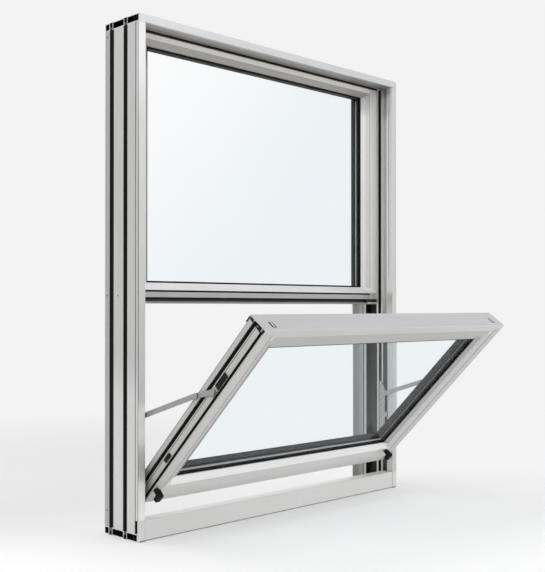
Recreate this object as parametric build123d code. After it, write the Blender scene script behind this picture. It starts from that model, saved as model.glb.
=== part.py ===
from build123d import *
import os
from dataclasses import dataclass
from math import atan2, cos, degrees, radians, sin

# A thermally broken aluminium window with two sashes, one above the other.
# The upper sash stands in the outer track. The lower sash has been lifted off the sill
# and leans into the room on two pivot bars, held by a stay on each side.
# +X is the width, seen from the room from left to right. -Y is the room, +Y is outdoors.
# +Z is up. The origin is on the underside of the sill, at mid width and mid depth.

# Overall size of the outer frame
frame_width = 940.0
frame_height = 1200.0
frame_depth = 132.0

# Walls and running clearances of the extrusions
frame_wall = 2.0
sash_wall = 1.8
seat_gap = 0.3
seam_gap = 0.4

# Outer frame section. Depths are measured from the room face towards outdoors.
face_width = 18.5
end_height = 18.0
front_box_depth = 20.0
side_slit_start = 11.0
side_slit_width = 3.0
pocket_width = 17.0
pocket_lip = 5.0
room_profile_depth = 46.0
track_start = 57.0
track_end = 103.0
track_lip_room = 4.0
track_lip_outer = 7.5
outer_profile_start = 114.0
jamb_cover_lip = 45.0
head_cover_lip = 28.0
cover_lip_thickness = 2.0
break_recess = 3.0
break_thickness = 5.0
cap_inset = 0.3
cap_thickness = 1.2
cap_overlap = 2.3
pocket_seal_setback = 4.5
pocket_seal_thickness = 4.0
port_radius = 2.6
port_wall = 1.4
port_bond = 0.5
fixing_hole_radius = 2.25
fixing_hole_height = 559.0
corner_hole_low = 55.0
corner_hole_top = 1168.0
pilot_hole_radius = 1.5
pilot_hole_height = 566.0

# Sill, seen from the room
sill_face_height = 48.0
sill_step_depth = 33.0
corner_block_thickness = 4.0
apron_setback = 0.6
apron_ground_gap = 1.5

# Sealed glass unit, the same in both sashes
pane_thickness = 4.0
spacer_thickness = 12.0
spacer_width = 9.0
spacer_inset = 3.0
glass_bite = 8.0
glass_edge_gap = 2.0
gasket_thickness = 1.5
gasket_show = 4.0
gasket_hold = 6.0
gasket_cover = 1.5
bead_tip = 2.0
bead_wall = 1.4
bead_seat_depth = 16.0
strip_width = 3.0
strip_inset = 1.0

# Upper sash
upper_side_gap = 4.0
upper_top_gap = 2.0
upper_stile_flat = 43.5
upper_stile_bead = 26.5
upper_top_flat = 13.0
upper_top_bead = 14.0
upper_bead_depth = 13.0
upper_nose = 9.0
nose_start = 17.0
upper_break_start = 23.5
upper_break_end = 31.0
meeting_rail_bottom = 541.0
meeting_rail_flat = 32.0
meeting_rail_bead = 18.0
interlock_low = 6.0
interlock_width = 9.0
interlock_depth = 8.0
shadow_groove_width = 4.5
shadow_groove_depth = 4.0
end_block_width = 56.0
end_block_setback = 4.0

# Lower sash
lower_side_gap = 11.0
lower_height = 565.0
lower_thickness = 52.0
lower_stile_flat = 27.0
lower_stile_bead = 32.0
lower_top_flat = 20.0
lower_top_bead = 42.0
lower_bottom_flat = 55.0
lower_bottom_bead = 15.0
lower_bead_depth = 12.0
lower_break_start = 29.0
lower_break_end = 39.5
top_fall = 8.4
top_end_height = 12.0
web_room = 9.7
web_outdoor = 38.2
tilt_angle = 45.0
pivot_rise = 12.0
pivot_depth = 28.25
pivot_height = 113.0
hook_reach = 4.0
hook_drop = 20.0
hook_thickness = 2.0
groove_start = 3.5
groove_width = 7.5
groove_depth = 5.0
groove_strip_thickness = 3.5
stile_slit_start = 24.5
stile_slit_width = 2.0
stile_slit_depth = 3.0

# Pivots, stays, feet and latches
pivot_bar_width = 12.0
pivot_bar_thickness = 3.0
pivot_bar_hold = 40.0
pivot_pin_radius = 4.0
shoe_height = 46.0
stay_bar_width = 12.0
stay_bar_thickness = 2.5
stay_pin_radius = 2.5
stay_pin_gap = 0.15
stay_low_reach = 1.5
stay_low_height = 279.0
stay_elbow_reach = 239.0
stay_elbow_height = 342.0
stay_sash_rise = 362.0
stay_sash_depth = 18.0
bracket_thickness = 2.0
bracket_low = 165.0
bracket_top = 314.0
bracket_shoulder = 292.0
bracket_nose = 8.0
bracket_width = 20.0
bracket_edge_reach = 20.5
bracket_lug_radius = 8.0
bracket_tab_low = 210.0
bracket_tab_height = 15.0
bracket_tab_reach = 8.0
plate_width = 13.0
plate_length = 26.0
slider_gap = 1.0
slider_length = 40.0
stop_rise = 128.0
stop_length = 24.0
stop_width = 9.0
foot_width = 11.0
foot_reach = 25.0
foot_toe = 13.0
foot_ankle = 12.0
foot_base_reach = 6.0
foot_base_width = 8.0
foot_thickness = 11.0
foot_from_left = 1.5
foot_from_right = 38.0
foot_rise = 44.0
foot_round = 3.0
latch_slot_width = 12.0
latch_slot_length = 19.0
latch_depth = 21.0
latch_from_end = 34.5
latch_wall = 1.2
latch_cheek = 3.4
latch_height = 5.0
latch_tab_gap = 0.2
latch_tab_rise = 0.6

# Values that follow from the sizes above
half_width = frame_width / 2
room_y = -frame_depth / 2
head_z = frame_height - end_height
inner_x = half_width - face_width
pocket_y = room_y + front_box_depth + pocket_width / 2
stay_low_y = pocket_y - stay_low_reach
bracket_edge_y = pocket_y + bracket_edge_reach
thermal_spans = ((room_profile_depth, track_start, cap_overlap), (track_end, outer_profile_start, 0.0))
upper_y = room_y + track_start + frame_wall + seat_gap
upper_width = 2 * (half_width - frame_wall - upper_side_gap)
upper_thickness = track_end - track_start - 2 * (frame_wall + seat_gap)
upper_height = head_z - upper_top_gap - meeting_rail_bottom
lower_width = 2 * (inner_x - lower_side_gap)
slider_thickness = lower_side_gap - bracket_thickness - 2 * stay_bar_thickness - 3 * seat_gap

os.makedirs("parts", exist_ok=True)


def rect(u0, v0, u1, v1):
    """Rectangle between two opposite corners."""
    return Pos((u0 + u1) / 2, (v0 + v1) / 2) * Rectangle(abs(u1 - u0), abs(v1 - v0))


def outline(*points):
    """Closed flat shape through the points."""
    return make_face(Polyline(*points, close=True))


def hollow(shape, wall):
    """Extrusion section with one even wall round an open chamber."""
    return shape - offset(shape, amount=-wall, kind=Kind.INTERSECTION)


def block(x0, y0, z0, x1, y1, z1):
    """Box between two opposite corners."""
    middle = ((x0 + x1) / 2, (y0 + y1) / 2, (z0 + z1) / 2)
    return Pos(*middle) * Box(abs(x1 - x0), abs(y1 - y0), abs(z1 - z0))


def mirrored(pieces):
    """The same pieces on the other side of the window."""
    return [mirror(piece, about=Plane.YZ) for piece in pieces]


def write(name, pieces):
    """Write one node's solids to its file."""
    solids = [solid for piece in pieces for solid in piece.solids()]
    shape = solids[0] if len(solids) == 1 else Compound(children=solids)
    export_step(shape, "parts/" + name + ".step")


# Outer frame. In its sections u runs inwards from the outside edge of the frame,
# and v runs from the room face to outdoors.
def screw_port(u, v):
    """Round screw port on an extrusion wall."""
    return Pos(u, v) * (Circle(port_radius + port_wall) - Circle(port_radius))


def cap_seats():
    """Shallow seats on the outside of the extrusions for the caps of both thermal strips."""
    seats = [rect(-1, v0 - cap_overlap, cap_thickness, v1 + after) for v0, v1, after in thermal_spans]
    return seats[0] + seats[1]


def room_section(depth, front, pocket):
    """Room-side extrusion: a front box, a slit on its outside, and a pocket or a closed box."""
    box = hollow(rect(0, front, depth, front_box_depth), frame_wall)
    back = rect(0, front_box_depth - frame_wall, frame_wall, room_profile_depth)
    slit = rect(-1, side_slit_start, frame_wall, side_slit_start + side_slit_width)
    section = box + back - cap_seats()
    if pocket:
        fin = front_box_depth + pocket_width
        section = section - slit + rect(0, fin, depth, fin + frame_wall)
        section += rect(depth - frame_wall, fin, depth, fin + pocket_lip)
        reach = break_recess + break_thickness
        return section + rect(cap_thickness, room_profile_depth - frame_wall, reach, room_profile_depth)
    section += rect(depth - frame_wall, front_box_depth - frame_wall, depth, room_profile_depth)
    section += rect(cap_thickness, room_profile_depth - frame_wall, depth, room_profile_depth)
    port = frame_wall + port_radius + port_wall - port_bond
    return section + screw_port(port, front + port)


def track_section(depth, open_track):
    """Track extrusion that holds the upper sash, or the closed box at the head and sill."""
    section = rect(0, track_start, frame_wall, track_end)
    section += rect(0, track_start, depth, track_start + frame_wall)
    section += rect(0, track_end - frame_wall, depth, track_end)
    section -= cap_seats()
    if open_track:
        section += rect(depth - frame_wall, track_start - track_lip_room, depth, track_start)
        return section + rect(depth - frame_wall, track_end, depth, track_end + track_lip_outer)
    return section + rect(depth - frame_wall, track_start, depth, track_end)


def outer_section(depth, lip):
    """Outdoor extrusion: a box, with a thin cover lip where lip is wider than the box."""
    box = hollow(rect(0, outer_profile_start, depth, frame_depth), frame_wall)
    return box + rect(0, frame_depth - cover_lip_thickness, max(lip, depth), frame_depth)


def thermal_section(v0, v1, after):
    """Thermal strip that joins two aluminium extrusions, with a cap that covers their edges."""
    cap = rect(cap_inset, v0 - cap_overlap, cap_thickness, v1 + after)
    return cap + rect(cap_inset, v0, break_recess + break_thickness, v1)


def thermal_strips(place, length):
    """Both thermal strips of one side of the frame."""
    return [place * extrude(thermal_section(*span), amount=length) for span in thermal_spans]


def side_place(x, z):
    """Place for an extrusion that stands upright, with u running to +X."""
    return Plane(origin=(x, room_y, z), x_dir=(1, 0, 0), z_dir=(0, 0, 1)).location


def top_place(x, y, z):
    """Place for an extrusion that runs to +X, with u running down."""
    return Plane(origin=(x, y, z), x_dir=(0, 0, -1), z_dir=(1, 0, 0)).location


def bottom_place(x, y, z):
    """Place for an extrusion that runs to -X, with u running up."""
    return Plane(origin=(x, y, z), x_dir=(0, 0, 1), z_dir=(-1, 0, 0)).location


def side_hole(v0, v1, height, radius):
    """Screw hole through the outside wall of the left jamb, midway between two depths."""
    middle = Pos(-half_width, room_y + (v0 + v1) / 2, height)
    return middle * Rot(Y=90) * Cylinder(radius, 3 * frame_wall)


def build_jambs():
    """Both jambs, which stand between the sill and the head."""
    place = side_place(-half_width, end_height)
    length = head_z - end_height
    room = place * extrude(room_section(face_width, 0, True), amount=length)
    notch_depth = side_slit_start + side_slit_width
    notch = block(-half_width, room_y, end_height, -inner_x, room_y + notch_depth, sill_face_height + seam_gap)
    track = place * extrude(track_section(face_width, True), amount=length)
    outer = place * extrude(outer_section(face_width, jamb_cover_lip), amount=length)
    lip_end = block(-inner_x, room_y, frame_height - head_cover_lip, 0, -room_y, frame_height)
    outer -= lip_end
    for height in (corner_hole_low, fixing_hole_height, corner_hole_top):
        outer -= side_hole(outer_profile_start, frame_depth, height, fixing_hole_radius)
    metal = [room - notch - side_hole(0, side_slit_start, pilot_hole_height, pilot_hole_radius),
             track - side_hole(track_start, track_end, fixing_hole_height, fixing_hole_radius), outer]
    write("left_jamb", metal)
    write("right_jamb", mirrored(metal))
    strips = thermal_strips(place, length)
    write("left_jamb_thermal_strips", strips)
    write("right_jamb_thermal_strips", mirrored(strips))
    seal_u = face_width - pocket_seal_setback
    fin = front_box_depth + pocket_width + frame_wall
    seal = place * extrude(rect(seal_u - pocket_seal_thickness, fin, seal_u, track_start), amount=length)
    write("jamb_pocket_seals", [seal] + mirrored([seal]))


def build_head():
    """Head, which runs across both jambs with open ends."""
    place = top_place(-half_width, room_y, frame_height)
    sections = (room_section(end_height, 0, False), track_section(end_height, False),
                outer_section(end_height, head_cover_lip))
    room, track, outer = [place * extrude(section, amount=frame_width) for section in sections]
    lip_end = block(-half_width, 0, frame_height - head_cover_lip, -inner_x + seam_gap, -room_y, head_z)
    write("head", [room, track, outer - lip_end - mirror(lip_end, about=Plane.YZ)])
    write("head_thermal_strips", thermal_strips(place, frame_width))


def build_sill():
    """Sill base, the step that the lower sash closes on, the apron and its corner blocks."""
    place = bottom_place(half_width, room_y, 0)
    sections = (room_section(end_height, corner_block_thickness, False), track_section(end_height, False),
                outer_section(end_height, 0))
    write("sill", [place * extrude(section, amount=frame_width) for section in sections])
    write("sill_thermal_strips", thermal_strips(place, frame_width))
    step_section = hollow(rect(end_height, corner_block_thickness, sill_face_height, sill_step_depth), frame_wall)
    step_place = bottom_place(inner_x - seat_gap, room_y, 0)
    write("sill_step", [step_place * extrude(step_section, amount=2 * (inner_x - seat_gap))])
    back_y = room_y + corner_block_thickness
    apron_x = inner_x - seam_gap
    write("sill_apron", [block(-apron_x, room_y + apron_setback, apron_ground_gap, apron_x, back_y, sill_face_height)])
    corner = block(-half_width, room_y, 0, -inner_x, back_y, sill_face_height)
    write("sill_corner_blocks", [corner] + mirrored([corner]))


# Sashes. Each is built upright, with its room face on y = 0 and its bottom on z = 0.
# In its sections w runs inwards from the outside edge, and t from the room face to outdoors.
@dataclass(frozen=True)
class Sash:
    """Sizes of one sash: a thermally broken frame with a sealed glass unit held by beads."""
    width: float
    height: float
    thickness: float
    stile_flat: float
    stile_bead: float
    top_flat: float
    top_bead: float
    bottom_flat: float
    bottom_bead: float
    bead_depth: float
    break_start: float
    break_end: float
    nose: float

    @property
    def glass_room(self):
        return self.bead_depth + bead_tip + gasket_thickness

    @property
    def glass_outer(self):
        return self.glass_room + 2 * pane_thickness + spacer_thickness

    @property
    def glass_stop(self):
        return self.glass_outer + gasket_thickness

    @property
    def side_sight(self):
        return self.stile_flat + self.stile_bead

    @property
    def top_sight(self):
        return self.top_flat + self.top_bead

    @property
    def bottom_sight(self):
        return self.bottom_flat + self.bottom_bead

    def pocket(self, sight):
        """Distance from the outside edge to the floor of the glazing pocket."""
        return sight - glass_bite - glass_edge_gap

    def room_outline(self, flat, sight):
        """Outline of the room-side extrusion of a stile or rail."""
        floor = self.pocket(sight)
        return outline((0, 0), (flat, 0), (flat, bead_seat_depth), (floor, bead_seat_depth),
                       (floor, self.break_start), (0, self.break_start))

    def outdoor_outline(self, sight, nose=0.0):
        """Outline of the outdoor extrusion, with the upstand that holds the glass and a nose beside it."""
        floor = self.pocket(sight)
        stop = self.glass_stop
        shape = outline((0, self.break_end), (floor, self.break_end), (floor, stop), (sight, stop),
                        (sight, self.thickness), (0, self.thickness))
        if nose:
            shape += rect(nose_start, self.break_end, floor, self.thickness + nose)
            shape += rect(nose_start, stop, sight, self.thickness + nose)
        return shape

    def stile_envelope(self, low, high):
        """Space that both stiles take between two heights, with the seam round them."""
        floor = self.pocket(self.side_sight)
        stop = self.glass_stop
        past = self.thickness
        shape = outline((-seam_gap, -past), (self.stile_flat, -past), (self.stile_flat, bead_seat_depth),
                        (floor, bead_seat_depth), (floor, stop), (self.side_sight, stop),
                        (self.side_sight, self.thickness), (-seam_gap, self.thickness))
        shape = offset(shape, amount=seam_gap, kind=Kind.INTERSECTION)
        left = Plane(origin=(-self.width / 2, 0, low), x_dir=(1, 0, 0), z_dir=(0, 0, 1)).location * extrude(
            shape, amount=high - low)
        return left, mirror(left, about=Plane.YZ)

    def strip_sections(self, sight):
        """The two thermal strips between the room and the outdoor extrusions."""
        inner = self.pocket(sight) - strip_inset
        return [rect(break_recess, self.break_start, break_recess + strip_width, self.break_end),
                rect(inner - strip_width, self.break_start, inner, self.break_end)]

    def bead_section(self, flat, sight):
        """Glazing bead with a face that slopes from the flat of the frame to the glass."""
        floor = self.pocket(sight)
        edge = flat + seam_gap / 2
        tip = self.bead_depth + bead_tip
        shape = outline((edge, 0), (sight, self.bead_depth), (sight, tip), (floor, tip),
                        (floor, bead_seat_depth), (edge, bead_seat_depth))
        return hollow(shape, bead_wall)

    def ring(self, inset, width, t0, t1):
        """Rectangular ring in the plane of the glass. inset is its outer edge, from the sight line outwards."""
        x = self.width / 2 - self.side_sight + inset
        low = self.bottom_sight - inset
        high = self.height - self.top_sight + inset
        outer = block(-x, t0, low, x, t1, high)
        return outer - block(-x + width, t0, low + width, x - width, t1, high - width)

    def pane(self, t0):
        """One sheet of glass."""
        x = self.width / 2 - self.side_sight + glass_bite
        low = self.bottom_sight - glass_bite
        high = self.height - self.top_sight + glass_bite
        return block(-x, t0, low, x, t0 + pane_thickness, high)

    def glazing(self):
        """Glass unit and its gaskets, by name. The outdoor gasket also covers the edge of the upstand."""
        width = gasket_hold + gasket_show
        room_gasket = self.ring(gasket_hold, width, self.glass_room - gasket_thickness, self.glass_room)
        outdoor_gasket = self.ring(gasket_hold, width, self.glass_outer, self.glass_stop)
        outdoor_gasket += self.ring(0, gasket_cover, self.glass_outer, self.thickness)
        if self.nose:
            x = self.side_sight - self.width / 2
            cover = block(x, self.glass_outer, self.bottom_sight, x + gasket_cover, self.thickness + self.nose,
                          self.height - self.top_sight)
            outdoor_gasket += cover
            outdoor_gasket += mirror(cover, about=Plane.YZ)
        spacer_at = self.glass_room + pane_thickness
        spacer = self.ring(glass_bite - spacer_inset, spacer_width, spacer_at, spacer_at + spacer_thickness)
        return {"glazing_gaskets": [room_gasket, outdoor_gasket], "glass_spacer": [spacer],
                "room_pane": [self.pane(self.glass_room)],
                "outdoor_pane": [self.pane(self.glass_outer - pane_thickness)]}

    def beads(self):
        """Four glazing beads, cut to mitred ends."""
        x_in = self.width / 2 - self.stile_flat
        x_sight = self.width / 2 - self.side_sight
        top = (self.height - self.top_flat, self.height - self.top_sight)
        low = (self.bottom_flat, self.bottom_sight)
        left_bar = Plane(origin=(-self.width / 2, 0, 0), x_dir=(1, 0, 0), z_dir=(0, 0, 1)).location * extrude(
            self.bead_section(self.stile_flat, self.side_sight), amount=self.height)
        top_bar = top_place(-self.width / 2, 0, self.height) * extrude(
            self.bead_section(self.top_flat, self.top_sight), amount=self.width)
        low_bar = bottom_place(self.width / 2, 0, 0) * extrude(
            self.bead_section(self.bottom_flat, self.bottom_sight), amount=self.width)
        left = left_bar & self.mitre((-x_in, low[0]), (-x_sight, low[1]), (-x_sight, top[1]), (-x_in, top[0]))
        over = top_bar & self.mitre((-x_in, top[0]), (-x_sight, top[1]), (x_sight, top[1]), (x_in, top[0]))
        under = low_bar & self.mitre((-x_in, low[0]), (x_in, low[0]), (x_sight, low[1]), (-x_sight, low[1]))
        return [left, mirror(left, about=Plane.YZ), over, under]

    def mitre(self, *corners):
        """Block through the sash with the outline of one mitred bead."""
        face = offset(outline(*corners), amount=-seam_gap / 2, kind=Kind.INTERSECTION)
        return extrude(Plane.XZ * face, amount=self.thickness, both=True)


def stile(sash, room_cuts, low, high):
    """Left stile from low to high: its metal, then its thermal strips."""
    place = Plane(origin=(-sash.width / 2, 0, low), x_dir=(1, 0, 0), z_dir=(0, 0, 1)).location
    room = sash.room_outline(sash.stile_flat, sash.side_sight)
    for cut in room_cuts:
        room -= cut
    outdoor = sash.outdoor_outline(sash.side_sight, sash.nose)
    sections = (hollow(room, sash_wall), hollow(outdoor, sash_wall))
    metal = [place * extrude(section, amount=high - low) for section in sections]
    strips = [place * extrude(section, amount=high - low) for section in sash.strip_sections(sash.side_sight)]
    return metal, strips


def rail(sash, sections, place, low, high):
    """Rail as wide as the sash, with its ends coped round the stiles between two heights."""
    left, right = sash.stile_envelope(low, high)
    return [place * extrude(section, amount=sash.width) - left - right for section in sections]


def build_upper_sash():
    """Upper sash, with the meeting rail at its foot."""
    sash = Sash(upper_width, upper_height, upper_thickness, upper_stile_flat, upper_stile_bead,
                upper_top_flat, upper_top_bead, meeting_rail_flat, meeting_rail_bead,
                upper_bead_depth, upper_break_start, upper_break_end, upper_nose)
    shift = Pos(0, upper_y, meeting_rail_bottom)
    half = sash.width / 2
    metal, strips = stile(sash, [], meeting_rail_flat + seam_gap, sash.height)
    write("upper_left_stile", [shift * piece for piece in metal])
    write("upper_right_stile", [shift * piece for piece in mirrored(metal)])
    top = (hollow(sash.room_outline(upper_top_flat, sash.top_sight), sash_wall),
           hollow(sash.outdoor_outline(sash.top_sight), sash_wall))
    top_at = top_place(-half, 0, sash.height)
    top_span = (0, sash.height + seam_gap)
    write("upper_top_rail", [shift * piece for piece in rail(sash, top, top_at, *top_span)])
    strips += mirrored(strips) + rail(sash, sash.strip_sections(sash.top_sight), top_at, *top_span)

    # The meeting rail runs under both stiles, so only what stands above its flat is coped.
    shadow_low = meeting_rail_flat - shadow_groove_width
    room = sash.room_outline(meeting_rail_flat, sash.bottom_sight)
    room -= rect(interlock_low, -1, interlock_low + interlock_width, interlock_depth)
    room -= rect(shadow_low, -1, meeting_rail_flat, shadow_groove_depth)
    low_at = bottom_place(half, 0, 0)
    sections = (hollow(room, sash_wall), hollow(sash.outdoor_outline(sash.bottom_sight), sash_wall))
    low_span = (meeting_rail_flat, sash.height)
    block_x = half - upper_stile_flat
    filled = block(-half, 0, shadow_low, -block_x, shadow_groove_depth, meeting_rail_flat)
    meeting = rail(sash, sections, low_at, *low_span)
    meeting[0] = meeting[0] + filled + mirror(filled, about=Plane.YZ)
    write("meeting_rail", [shift * piece for piece in meeting])
    strips += rail(sash, sash.strip_sections(sash.bottom_sight), low_at, *low_span)
    write("upper_sash_thermal_strips", [shift * piece for piece in strips])
    end_x = end_block_setback - half
    end_block = block(end_x, 0, interlock_low, end_x + end_block_width, interlock_depth,
                      interlock_low + interlock_width)
    write("meeting_rail_end_blocks", [shift * piece for piece in [end_block] + mirrored([end_block])])
    write("upper_glazing_beads", [shift * piece for piece in sash.beads()])
    for name, pieces in sash.glazing().items():
        write("upper_" + name, [shift * piece for piece in pieces])


def lower_top_section(sash):
    """Top rail of the lower sash: one extrusion with two webs, a falling top and a hook."""
    floor = sash.pocket(sash.top_sight)
    stop = sash.glass_stop
    edge = sash.thickness + hook_reach
    shape = outline((0, 0), (sash.top_flat, 0), (sash.top_flat, bead_seat_depth), (floor, bead_seat_depth),
                    (floor, stop), (sash.top_sight, stop), (sash.top_sight, sash.thickness),
                    (top_fall, sash.thickness))
    webs = rect(0, web_room, floor, web_room + sash_wall) + rect(0, web_outdoor, floor, web_outdoor + sash_wall)
    tip = top_fall * edge / sash.thickness
    hook = outline((top_fall, sash.thickness), (tip, edge), (tip + hook_drop, edge),
                   (tip + hook_drop, edge - hook_thickness), (tip + hook_thickness, edge - hook_thickness),
                   (top_fall + hook_thickness, sash.thickness))
    return hollow(shape, sash_wall) + (webs & shape) + hook


def lower_sash_pieces():
    """Pieces of the lower sash while it stands upright, by node name."""
    sash = Sash(lower_width, lower_height, lower_thickness, lower_stile_flat, lower_stile_bead,
                lower_top_flat, lower_top_bead, lower_bottom_flat, lower_bottom_bead,
                lower_bead_depth, lower_break_start, lower_break_end, 0.0)
    half = sash.width / 2
    groove = rect(-1, groove_start, groove_depth, groove_start + groove_width)
    slit = rect(-1, stile_slit_start, stile_slit_depth, stile_slit_start + stile_slit_width)
    stile_top = sash.height - top_end_height - seam_gap
    metal, strips = stile(sash, [groove, slit], 0, stile_top)
    strip_foot = block(-half, 0, 0, half, sash.thickness, 2 * pivot_rise)
    strips = [piece - strip_foot for piece in strips]
    top_at = top_place(-half, 0, sash.height)
    slot = latch_place(sash) * Box(latch_slot_width, latch_slot_length, 2 * latch_height)
    top = rail(sash, [lower_top_section(sash)], top_at, -seam_gap, sash.height - top_end_height)
    top = [piece - slot - mirror(slot, about=Plane.YZ) for piece in top]
    low_at = bottom_place(half, 0, 0)
    low_span = (-seam_gap, sash.height)
    low = (hollow(sash.room_outline(sash.bottom_flat, sash.bottom_sight), sash_wall),
           hollow(sash.outdoor_outline(sash.bottom_sight), sash_wall))
    strips += mirrored(strips)
    strips += rail(sash, sash.strip_sections(sash.bottom_sight), low_at, *low_span)
    strip = block(-half + groove_depth - groove_strip_thickness, groove_start, 0, -half + groove_depth,
                  groove_start + groove_width, stile_top)
    pieces = {"lower_left_stile": metal, "lower_right_stile": mirrored(metal), "lower_top_rail": top,
              "lower_bottom_rail": rail(sash, low, low_at, *low_span), "lower_sash_thermal_strips": strips,
              "stile_groove_strips": [strip] + mirrored([strip]), "lower_glazing_beads": sash.beads()}
    for name, items in sash.glazing().items():
        pieces["lower_" + name] = items
    pieces.update(lower_sash_fittings(sash))
    return pieces


def latch_place(sash):
    """Place of the left tilt latch, on the falling top face of the top rail."""
    fall = top_fall / sash.thickness
    middle = Pos(-sash.width / 2 + latch_from_end, latch_depth, sash.height - latch_depth * fall)
    return middle * Rot(X=-degrees(atan2(top_fall, sash.thickness)))


def latch_pieces(sash):
    """Housing of the left tilt latch, sunk in the top rail, and the sliding tab inside it."""
    width = latch_slot_width - seam_gap
    length = latch_slot_length - seam_gap
    inside = (width - 2 * latch_cheek, length - 2 * latch_wall)
    housing = Box(width, length, latch_height) - Pos(0, 0, latch_wall) * Box(*inside, latch_height)
    tab_height = latch_height - latch_wall + latch_tab_rise
    tab_size = (inside[0] - 2 * latch_tab_gap, inside[1] - 2 * latch_tab_gap, tab_height)
    tab = Pos(0, 0, (latch_wall + latch_tab_rise) / 2) * Box(*tab_size)
    sunk = latch_place(sash) * Pos(0, 0, -latch_height / 2)
    return sunk * housing, sunk * Pos(0, 0, latch_tab_gap / 2) * tab


def foot_piece(x):
    """Foot with its left side at x: a leg that stands on the room face, with a toe towards the bottom rail."""
    side = Plane.YZ.offset(x)
    boot = outline((0, 0), (-foot_reach + foot_ankle, 0), (-foot_reach + foot_ankle, -foot_toe),
                   (-foot_reach, -foot_toe), (-foot_reach, foot_width), (-foot_base_reach, foot_width),
                   (-foot_base_reach, foot_base_width), (0, foot_base_width))
    boot = fillet(boot.vertices().filter_by(lambda point: point.X < -foot_base_reach - 1), foot_round)
    return Pos(0, 0, foot_rise) * side.location * extrude(boot, amount=foot_thickness)


def side_block(sash, t_middle, width, low, high):
    """Flat block on the left side of the sash, as thick as the slider."""
    half = sash.width / 2
    return block(-half - slider_thickness, t_middle - width / 2, low, -half, t_middle + width / 2, high)


def lower_sash_fittings(sash):
    """Pivot bars, feet, latches, and what the stays need on the sides of the lower sash."""
    half = sash.width / 2
    bar_low = sash.break_start + seat_gap
    bar = block(-half, bar_low, pivot_rise - pivot_bar_width / 2, -half + pivot_bar_hold,
                bar_low + pivot_bar_thickness, pivot_rise + pivot_bar_width / 2)
    pin_length = half_width - frame_wall - seat_gap - half
    pin = Pos(-half - pin_length / 2, pivot_depth, pivot_rise) * Rot(Y=90) * Cylinder(pivot_pin_radius, pin_length)
    housing, tab = latch_pieces(sash)
    plate = side_block(sash, stay_sash_depth, plate_width, stay_sash_rise - plate_length / 2,
                       stay_sash_rise + plate_length / 2)
    slider_low = stay_sash_rise + plate_length / 2 + slider_gap
    slider = side_block(sash, stay_sash_depth, plate_width, slider_low, slider_low + slider_length)
    stop = side_block(sash, stay_sash_depth, stop_width, stop_rise, stop_rise + stop_length)
    sides = {"pivot_bars": [bar + pin], "stay_sash_plates": [plate], "stay_sliders": [slider, stop],
             "tilt_latches": [housing], "latch_tabs": [tab]}
    fittings = {name: pieces + mirrored(pieces) for name, pieces in sides.items()}
    fittings["sash_feet"] = [foot_piece(-half + foot_from_left), foot_piece(half - foot_from_right - foot_thickness)]
    return fittings


def sash_point(t, rise):
    """World y and z of a point of the tilted lower sash."""
    turn = radians(tilt_angle)
    across = t - pivot_depth
    up = rise - pivot_rise
    return pocket_y + across * cos(turn) - up * sin(turn), pivot_height + across * sin(turn) + up * cos(turn)


def build_lower_sash():
    """Lower sash, leaning into the room about its pivot bars."""
    lean = Pos(0, pocket_y, pivot_height) * Rot(X=tilt_angle) * Pos(0, -pivot_depth, -pivot_rise)
    for name, pieces in lower_sash_pieces().items():
        write(name, [lean * piece for piece in pieces])


def link(start, end, x, width, thickness):
    """Flat bar with round ends between two points of an upright plane across the width."""
    length = ((end[0] - start[0]) ** 2 + (end[1] - start[1]) ** 2) ** 0.5
    face = SlotCenterToCenter(length, width)
    middle = ((start[0] + end[0]) / 2, (start[1] + end[1]) / 2)
    run = Plane(origin=(x, middle[0], middle[1]), x_dir=(0, end[0] - start[0], end[1] - start[1]), z_dir=(1, 0, 0))
    holes = [Pos(end_u, 0) * Circle(stay_pin_radius + stay_pin_gap) for end_u in (-length / 2, length / 2)]
    return run.location * extrude(face - holes[0] - holes[1], amount=thickness)


def x_pin(x0, x1, y, z, radius):
    """Round pin along the width."""
    return Pos((x0 + x1) / 2, y, z) * Rot(Y=90) * Cylinder(radius, abs(x1 - x0))


def bracket_piece(bar_x):
    """Left bracket: a plate on the jamb's pocket lip, with a lug and the pin that carry the bar."""
    face = outline((bracket_edge_y - bracket_width, bracket_low), (bracket_edge_y, bracket_low),
                   (bracket_edge_y, bracket_top), (bracket_edge_y - bracket_nose, bracket_top),
                   (bracket_edge_y - bracket_width, bracket_shoulder))
    tab_y = bracket_edge_y - bracket_width - bracket_tab_reach
    face += rect(tab_y, bracket_tab_low, bracket_edge_y - bracket_width, bracket_tab_low + bracket_tab_height)
    face += Pos(stay_low_y, stay_low_height) * Circle(bracket_lug_radius)
    plate = Plane.YZ.offset(-inner_x).location * extrude(face, amount=bracket_thickness)
    return plate + x_pin(-inner_x, bar_x + stay_bar_thickness, stay_low_y, stay_low_height, stay_pin_radius)


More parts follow.
